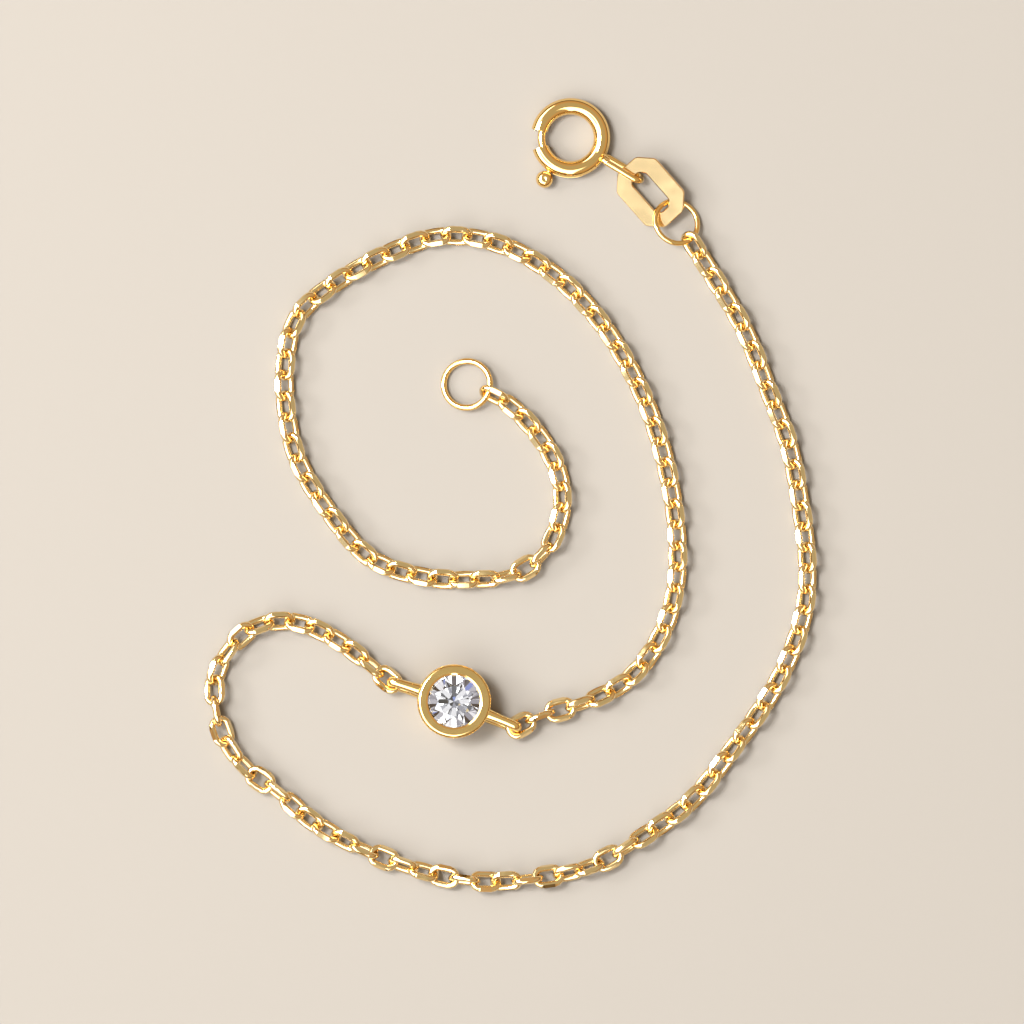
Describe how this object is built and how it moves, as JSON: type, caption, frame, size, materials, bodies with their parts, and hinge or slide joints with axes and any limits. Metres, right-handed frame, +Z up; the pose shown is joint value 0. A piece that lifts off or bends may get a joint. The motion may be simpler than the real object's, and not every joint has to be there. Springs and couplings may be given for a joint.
{
  "type": "chain bracelet with a bezel-set stone",
  "caption": "Fine gold cable-chain bracelet with a bezel-set diamond, a spring ring clasp on a slotted tag and a ring at the other end, lying in a spiral.",
  "frame": {"origin": "middle of the lying bracelet's outline, on the surface that it rests on", "axes": "+Z up from the surface; +Y towards the clasp; seen from above, the picture's right is +X"},
  "size_m": [0.0348, 0.045, 0.0023],
  "materials": {
    "chain_gold": "polished",
    "ring_gold": "polished",
    "plate_gold": "polished",
    "bezel_gold": "polished",
    "diamond": "polished"
  },
  "bodies": {
    "bracelet": {"clasp_ring": "ring_gold", "tag_link": "plate_gold", "tag_ring": "ring_gold", "clasp_side_chain": "chain_gold", "bezel": "bezel_gold", "stone": "diamond", "end_side_chain": "chain_gold", "end_ring": "ring_gold"},
    "gate": {"clasp_gate": "ring_gold"}
  },
  "joints": [
    {"name": "gate_pivot", "type": "hinge", "parent": "bracelet", "child": "gate", "pos_m": [0.0034, 0.02031, 0.00048], "axis": [0, 0, 1], "range_deg": [0, 38], "stiffness_Nm_per_rad": 0.003, "springref_deg": -20.05}
  ]
}
